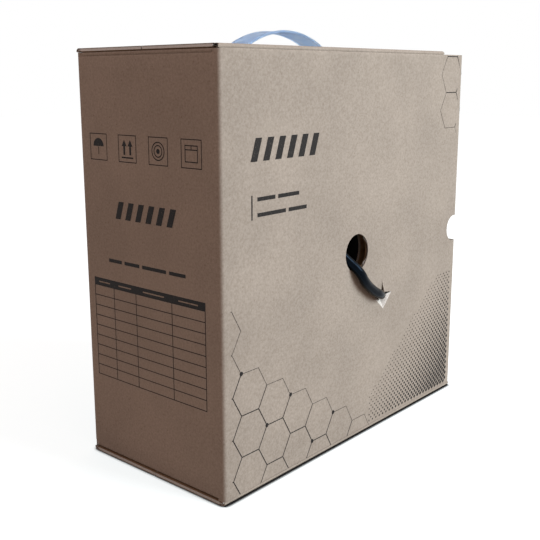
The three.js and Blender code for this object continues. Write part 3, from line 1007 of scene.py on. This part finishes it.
def translucent_polyethylene():
    # Moulded low-density polyethylene, tinted blue: cloudy and see-through, with a soft waxy gloss
    # and faint flow marks
    finish, shader = new_finish("translucent_polyethylene")
    place = add_node(finish, "TexCoord", {}).outputs["Object"]
    cloud = add_node(finish, "TexNoise", {"Vector": place, "Scale": 90, "Detail": 3})
    flow = add_node(finish, "TexNoise", {"Vector": place, "Scale": 160, "Detail": 1})
    shade = add_node(finish, "MapRange", {"Value": cloud, "From Min": 0.35, "From Max": 0.65})
    tone = add_node(finish, "MixRGB", {
        "Fac": shade, "Color1": colour("b0d0f6"), "Color2": colour("d2e6fc"),
    })
    dull = add_node(finish, "MapRange", {
        "Value": cloud, "From Min": 0.3, "From Max": 0.7, "To Min": 0.38, "To Max": 0.48,
    })
    bump = add_node(finish, "Bump", {"Height": flow, "Strength": 0.1, "Distance": 0.00001})
    set_inputs(finish, shader, {
        "IOR": 1.2, "Transmission Weight": 0.75, "Base Color": tone, "Roughness": dull, "Normal": bump,
    })
    return finish


def strap_route():
    """The middle line of the strap, from one foot over the arch to the other."""
    arch_middle = strap_apex - arch_radius
    half_angle = math.asin(strap_half_span / arch_radius)
    foot_top = strap_low.z + foot_thickness / 2
    points = [Vector((-strap_half_span, strap_y, z)) for z in (foot_top, carton_top, leg_top - 0.001)]
    steps = 14
    for step in range(1, steps):
        angle = half_angle * (2 * step / steps - 1)
        points.append(Vector((
            arch_radius * math.sin(angle), strap_y, arch_middle + arch_radius * math.cos(angle))))
    points += [Vector((strap_half_span, strap_y, z)) for z in (leg_top - 0.001, carton_top, foot_top)]
    return smooth_route(points, 6)


def strap_section():
    """The strap's outline across its width: how far along the width, and how far off the middle."""
    half = []
    steps = 24
    for step in range(steps + 1):
        across = -math.cos(math.pi * step / steps) * strap_width / 2
        edge = strap_width / 2 - abs(across)
        if edge < strap_bead:
            off = math.sqrt(max(0, strap_bead ** 2 - (strap_bead - edge) ** 2))
        else:
            fade = min(1, (edge - strap_bead) / strap_bead)
            off = strap_bead + (strap_web - strap_bead) * (3 * fade ** 2 - 2 * fade ** 3)
        half.append((across, off))
    return half + [(across, -off) for across, off in half[-2:0:-1]]


def add_strap(name, route, section, finish):
    """A solid with the same section all along a route that bends in the plane of X and Z."""
    bpy.ops.object.select_all(action="DESELECT")
    rings = len(section)
    bpy.ops.mesh.primitive_grid_add(x_subdivisions=rings, y_subdivisions=len(route) - 1, size=2)
    strap = bpy.context.object
    strap.name = name
    for vertex in strap.data.vertices:
        across, off = section[round((vertex.co.x + 1) / 2 * rings) % rings]
        row = round((vertex.co.y + 1) / 2 * (len(route) - 1))
        ahead = route[min(row + 1, len(route) - 1)] - route[max(row - 1, 0)]
        ahead.normalize()
        vertex.co = route[row] + Vector((-ahead.z * off, across, ahead.x * off))
    bpy.ops.object.mode_set(mode="EDIT")
    bpy.ops.mesh.select_all(action="SELECT")
    bpy.ops.mesh.remove_doubles(threshold=0.000001)
    bpy.ops.mesh.select_all(action="DESELECT")
    bpy.ops.mesh.select_non_manifold()
    bpy.ops.mesh.fill()
    bpy.ops.mesh.select_all(action="SELECT")
    bpy.ops.mesh.normals_make_consistent(inside=False)
    bpy.ops.object.mode_set(mode="OBJECT")
    strap.data.materials.append(finish)
    bpy.ops.object.shade_smooth_by_angle(angle=strap_smooth)
    return strap


def add_rounded_block(name, low, high, rounding, finish):
    """A block with rounded edges between two corners."""
    bpy.ops.object.select_all(action="DESELECT")
    bpy.ops.mesh.primitive_cube_add(size=1)
    block = bpy.context.object
    block.name = name
    low = Vector(low)
    size = Vector(high) - low
    for vertex in block.data.vertices:
        vertex.co = [start + (share + 0.5) * length for start, share, length in zip(low, vertex.co, size)]
    edge = block.modifiers.new("edges", "BEVEL")
    edge.width = rounding
    edge.segments = 3
    finish_modifier(block, edge)
    block.data.materials.append(finish)
    bpy.ops.object.shade_smooth_by_angle(angle=strap_smooth)
    return block


strap_finish = translucent_polyethylene()
strap_pieces = [add_strap("handle", strap_route(), strap_section(), strap_finish)]
for side in (-1, 1):
    middle = side * strap_half_span
    strap_pieces.append(add_rounded_block(
        "handle_foot", (middle - foot_reach, strap_low.y, strap_low.z),
        (middle + foot_reach, strap_high.y, strap_low.z + foot_thickness), foot_rounding, strap_finish))
handle = join_pieces("moulded_handle", strap_pieces)
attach(handle, "back_lid")
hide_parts("handle_strap")

# Spindle. A square of plywood glued to the rear wall, and a wound paper tube glued into it, on
# which the spool turns. The tube's bore is coloured near black, a painted shade for the dark
# inside, and its end shows at the hole.
ply = 0.00125
tube_strip = 0.06


def rotary_cut_plywood():
    # Birch plywood, rotary cut and sanded: pale tan with broad drawn-out grain on the faces, and
    # thin light and dark plies on the sawn edges. The plies lie across Y.
    finish, shader = new_finish("rotary_cut_plywood")
    texture = add_node(finish, "TexCoord", {})
    place = texture.outputs["Object"]
    stretched = add_node(finish, "Mapping", {"Vector": place, "Scale": (6, 20, 95)})
    grain = add_node(finish, "TexNoise", {
        "Vector": stretched, "Scale": 1, "Detail": 6, "Roughness": 0.6, "Distortion": 0.5,
    })
    shade = add_node(finish, "MapRange", {"Value": grain, "From Min": 0.35, "From Max": 0.65})
    face = add_node(finish, "MixRGB", {
        "Fac": shade, "Color1": colour("b08c5f"), "Color2": colour("d2b58a"),
    })
    across = add_node(finish, "SeparateXYZ", {"Vector": place})
    plies = add_node(finish, "Math", {0: across.outputs["Y"], 1: math.pi / ply}, operation="MULTIPLY")
    stripe = add_node(finish, "Math", {0: plies}, operation="SINE")
    cut = add_node(finish, "MapRange", {"Value": stripe, "From Min": -0.4, "From Max": 0.4})
    edge = add_node(finish, "MixRGB", {
        "Fac": cut, "Color1": colour("7d5c3a"), "Color2": colour("c9a877"),
    })
    facing = add_node(finish, "SeparateXYZ", {"Vector": texture.outputs["Normal"]})
    flat = add_node(finish, "Math", {0: facing.outputs["Y"]}, operation="ABSOLUTE")
    on_face = add_node(finish, "Math", {0: flat, 1: 0.7}, operation="GREATER_THAN")
    tone = add_node(finish, "MixRGB", {"Fac": on_face, "Color1": edge, "Color2": face})
    bump = add_node(finish, "Bump", {"Height": grain, "Strength": 0.3, "Distance": 0.0002})
    set_inputs(finish, shader, {
        "Roughness": 0.65, "Specular IOR Level": 0.3, "Base Color": tone, "Normal": bump,
    })
    return finish


def wound_paper(name, centre, bore, inner, outer, cut):
    # Spirally wound paper tube: brown strips that meet in a thin slanted seam, a bore of another
    # colour, and cut ends that show the pale wound layers as fine rings. Its axis lies along Y.
    finish, shader = new_finish(name)
    texture = add_node(finish, "TexCoord", {})
    from_axis = add_node(finish, "Mapping", {
        "Vector": texture.outputs["Object"], "Location": (-centre[0], 0, -centre[1]),
    })
    place = add_node(finish, "SeparateXYZ", {"Vector": from_axis})
    flat = add_node(finish, "CombineXYZ", {"X": place.outputs["X"], "Z": place.outputs["Z"]})
    radius = add_node(finish, "VectorMath", {0: flat}, operation="LENGTH")
    angle = add_node(finish, "Math", {0: place.outputs["Z"], 1: place.outputs["X"]}, operation="ARCTAN2")
    turn = add_node(finish, "Math", {0: angle, 1: math.tau}, operation="DIVIDE")
    strips = add_node(finish, "Math", {
        0: place.outputs["Y"], 1: 1 / tube_strip, 2: turn,
    }, operation="MULTIPLY_ADD")
    along = add_node(finish, "Math", {0: strips}, operation="FRACT")
    seam = add_node(finish, "MapRange", {
        "Value": along, "From Min": 0, "From Max": 0.02, "To Min": 0.6, "To Max": 1,
    })
    fibres = add_node(finish, "TexNoise", {"Vector": texture.outputs["Object"], "Scale": 500, "Detail": 5})
    mottle = add_node(finish, "MapRange", {
        "Value": fibres, "From Min": 0.3, "From Max": 0.7, "To Min": 0.88, "To Max": 1.1,
    })
    shade = add_node(finish, "Math", {0: seam, 1: mottle}, operation="MULTIPLY")
    outside = add_node(finish, "Math", {0: radius.outputs["Value"], 1: bore}, operation="GREATER_THAN")
    wall = add_node(finish, "MixRGB", {"Fac": outside, "Color1": colour(inner), "Color2": colour(outer)})
    facing = add_node(finish, "SeparateXYZ", {"Vector": texture.outputs["Normal"]})
    end = add_node(finish, "Math", {0: facing.outputs["Y"]}, operation="ABSOLUTE")
    on_end = add_node(finish, "Math", {0: end, 1: 0.7}, operation="GREATER_THAN")
    tone = add_node(finish, "MixRGB", {"Fac": on_end, "Color1": wall, "Color2": colour(cut)})
    shaded = add_node(finish, "MixRGB", {
        "Fac": 1, "Color1": tone, "Color2": shade,
    }, blend_type="MULTIPLY")
    bump = add_node(finish, "Bump", {"Height": fibres, "Strength": 0.4, "Distance": 0.0002})
    set_inputs(finish, shader, {
        "Roughness": 0.8, "Specular IOR Level": 0.2, "Base Color": shaded, "Normal": bump,
    })
    return finish


def give_finish(node, finish):
    """Gives a construction piece its finish."""
    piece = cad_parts[node]
    piece.data.materials.clear()
    piece.data.materials.append(finish)


tube_low, tube_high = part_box("spindle_tube")
spool_axis = ((tube_low.x + tube_high.x) / 2, (tube_low.z + tube_high.z) / 2)
tube_bore = 0.0255
plywood = rotary_cut_plywood()
give_finish("support_board", plywood)
# The bore colour 15130f is painted shade, so the inside seen through the hole stays dark
give_finish("spindle_tube", wound_paper(
    "wound_paper_tube", spool_axis, tube_bore, "15130f", "9c7f5c", "d8d0c3"))

# Spool. Two round plywood flanges on a wound paper barrel, clamped by four zinc-plated bolts and
# nuts. It turns freely on the spindle as the cable is drawn off.
barrel_bore = 0.0625


def zinc_plate():
    # Bright zinc plating on steel: cool grey metal, a little dull, with a fine cloudy spangle
    finish, shader = new_finish("bright_zinc_plate")
    place = add_node(finish, "TexCoord", {}).outputs["Object"]
    spangle = add_node(finish, "TexVoronoi", {"Vector": place, "Scale": 700})
    cloud = add_node(finish, "SeparateColor", {"Color": spangle.outputs["Color"]})
    tone = add_node(finish, "MixRGB", {
        "Fac": cloud.outputs["Red"], "Color1": colour("a9adb2"), "Color2": colour("c9ccd0"),
    })
    dull = add_node(finish, "MapRange", {"Value": cloud.outputs["Green"], "To Min": 0.28, "To Max": 0.42})
    set_inputs(finish, shader, {"Metallic": 1, "Base Color": tone, "Roughness": dull})
    return finish


for name in ("front_flange", "rear_flange"):
    give_finish(name, plywood)
give_finish("spool_barrel", wound_paper(
    "wound_paper_barrel", spool_axis, barrel_bore, "8a7050", "9c7f5c", "cdbfa8"))
zinc = zinc_plate()
for number in range(1, 5):
    give_finish(f"tie_bolt_{number}", zinc)
    give_finish(f"tie_nut_{number}", zinc)

# Wound cable. The rest of the cable, in layers on the barrel: each layer runs from flange to
# flange and the next runs back over it. The outer one leads on into the free end.
turn_steps = 40
outer_turns = 11.5
inner_turns = 11
inner_layers = 9
wind_half = 0.0549
outer_wind = 0.14605
top_inner_wind = 0.1364
first_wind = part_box("spool_barrel")[1].x - spool_axis[0] + cable_diameter / 2 + 0.0002
lead_off = math.radians(190)


def wind(radius, turns, start_y, end_y, end_angle):
    """A layer of turns, clockwise as seen from the front, that ends at an angle."""
    points = []
    steps = round(turns * turn_steps)
    for step in range(steps + 1):
        share = step / steps
        angle = end_angle + math.tau * turns * (1 - share)
        points.append(Vector((
            spool_axis[0] + radius * math.cos(angle), start_y + (end_y - start_y) * share,
            spool_axis[1] + radius * math.sin(angle))))
    return points


outer_route = wind(outer_wind, outer_turns, wind_half, -wind_half, lead_off) + [inside_route[0]]
outer_layer = add_cable("wound_cable_outer_layer", outer_route, cable_diameter, jacket)
outer_layer.data.bevel_resolution = 3
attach(outer_layer, "spool")
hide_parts("cable_outer_layer")
pack_route = []
for layer in range(inner_layers):
    radius = first_wind + (top_inner_wind - first_wind) * layer / (inner_layers - 1)
    side = 1 if layer % 2 else -1
    pack_route += wind(radius, inner_turns, side * wind_half, -side * wind_half, lead_off)
pack = add_cable("wound_cable_pack", pack_route, cable_diameter, jacket)
pack.data.bevel_resolution = 2
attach(pack, "spool")
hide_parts("cable_pack")

# Studio. A plain pale floor, one large soft lamp in front on the right, and dim warm light all
# round from the world, so that the front face is bright and the left one in warm shade.
bpy.ops.object.select_all(action="DESELECT")
bpy.ops.mesh.primitive_plane_add(size=12, location=(0, 0, -0.0002))
floor = bpy.context.object
floor.name = "studio_floor"


def seen_directly(owner):
    """1 for the camera and for what gloss and clear pieces show, and 0 for light that bounces."""
    rays = add_node(owner, "LightPath", {}).outputs
    shown = add_node(owner, "Math", {
        0: rays["Is Camera Ray"], 1: rays["Is Transmission Ray"],
    }, operation="MAXIMUM")
    return add_node(owner, "Math", {0: shown, 1: rays["Is Glossy Ray"]}, operation="MAXIMUM")


def white_paper_floor():
    # Seamless white paper, matte. It shows as white, with the object's soft shadow, and throws back
    # only a little light. Where the object stands on it, ambient occlusion darkens its colour and
    # glow: a painted shadow along the object's foot.
    finish, shader = new_finish("white_paper_floor")
    seen = seen_directly(finish)
    # Painted shadow: this occlusion sets how far the floor is darkened next to the object
    open_air = add_node(finish, "AmbientOcclusion", {"Distance": 0.006}, samples=16)
    painted_contact_lightness = add_node(finish, "MapRange", {
        "Value": open_air.outputs["AO"], "From Min": 0.55, "From Max": 0.9,
    })
    # The dark colour 303030 is the painted shadow at the object's foot
    shown = add_node(finish, "MixRGB", {
        "Fac": painted_contact_lightness, "Color1": colour("303030"), "Color2": colour("e4e4e4"),
    })
    tone = add_node(finish, "MixRGB", {"Fac": seen, "Color1": colour("7f7468"), "Color2": shown})
    glow = add_node(finish, "Math", {0: seen, 1: 0.78}, operation="MULTIPLY")
    glow_under_painted_shadow = add_node(finish, "Math", {0: glow, 1: painted_contact_lightness}, operation="MULTIPLY")
    set_inputs(finish, shader, {
        "Roughness": 0.9, "Specular IOR Level": 0, "Emission Color": (0.86, 0.97, 1, 1),
        "Base Color": tone, "Emission Strength": glow_under_painted_shadow,
    })
    return finish


floor.data.materials.append(white_paper_floor())

world = bpy.data.worlds.new("studio_world")
bpy.context.scene.world = world
world.use_nodes = True
sky = add_node(world, "MixRGB", {
    "Fac": seen_directly(world), "Color1": (0.455, 0.328, 0.289, 1), "Color2": (1, 1, 1, 1),
})
set_inputs(world, world.node_tree.nodes["Background"], {"Color": sky})


def add_lamp(name, place, aim, size, power, tint):
    bpy.ops.object.select_all(action="DESELECT")
    facing = (Vector(aim) - Vector(place)).to_track_quat("-Z", "Y").to_euler()
    bpy.ops.object.light_add(type="AREA", location=place, rotation=facing)
    lamp = bpy.context.object
    lamp.name = name
    lamp.data.shape = "SQUARE"
    lamp.data.size = size
    lamp.data.energy = power
    lamp.data.color = tint


add_lamp("key_lamp", (0.9, -2.35, 1.25), (0, 0, 0.15), 1.5, 73, (0.86, 0.955, 1.0))
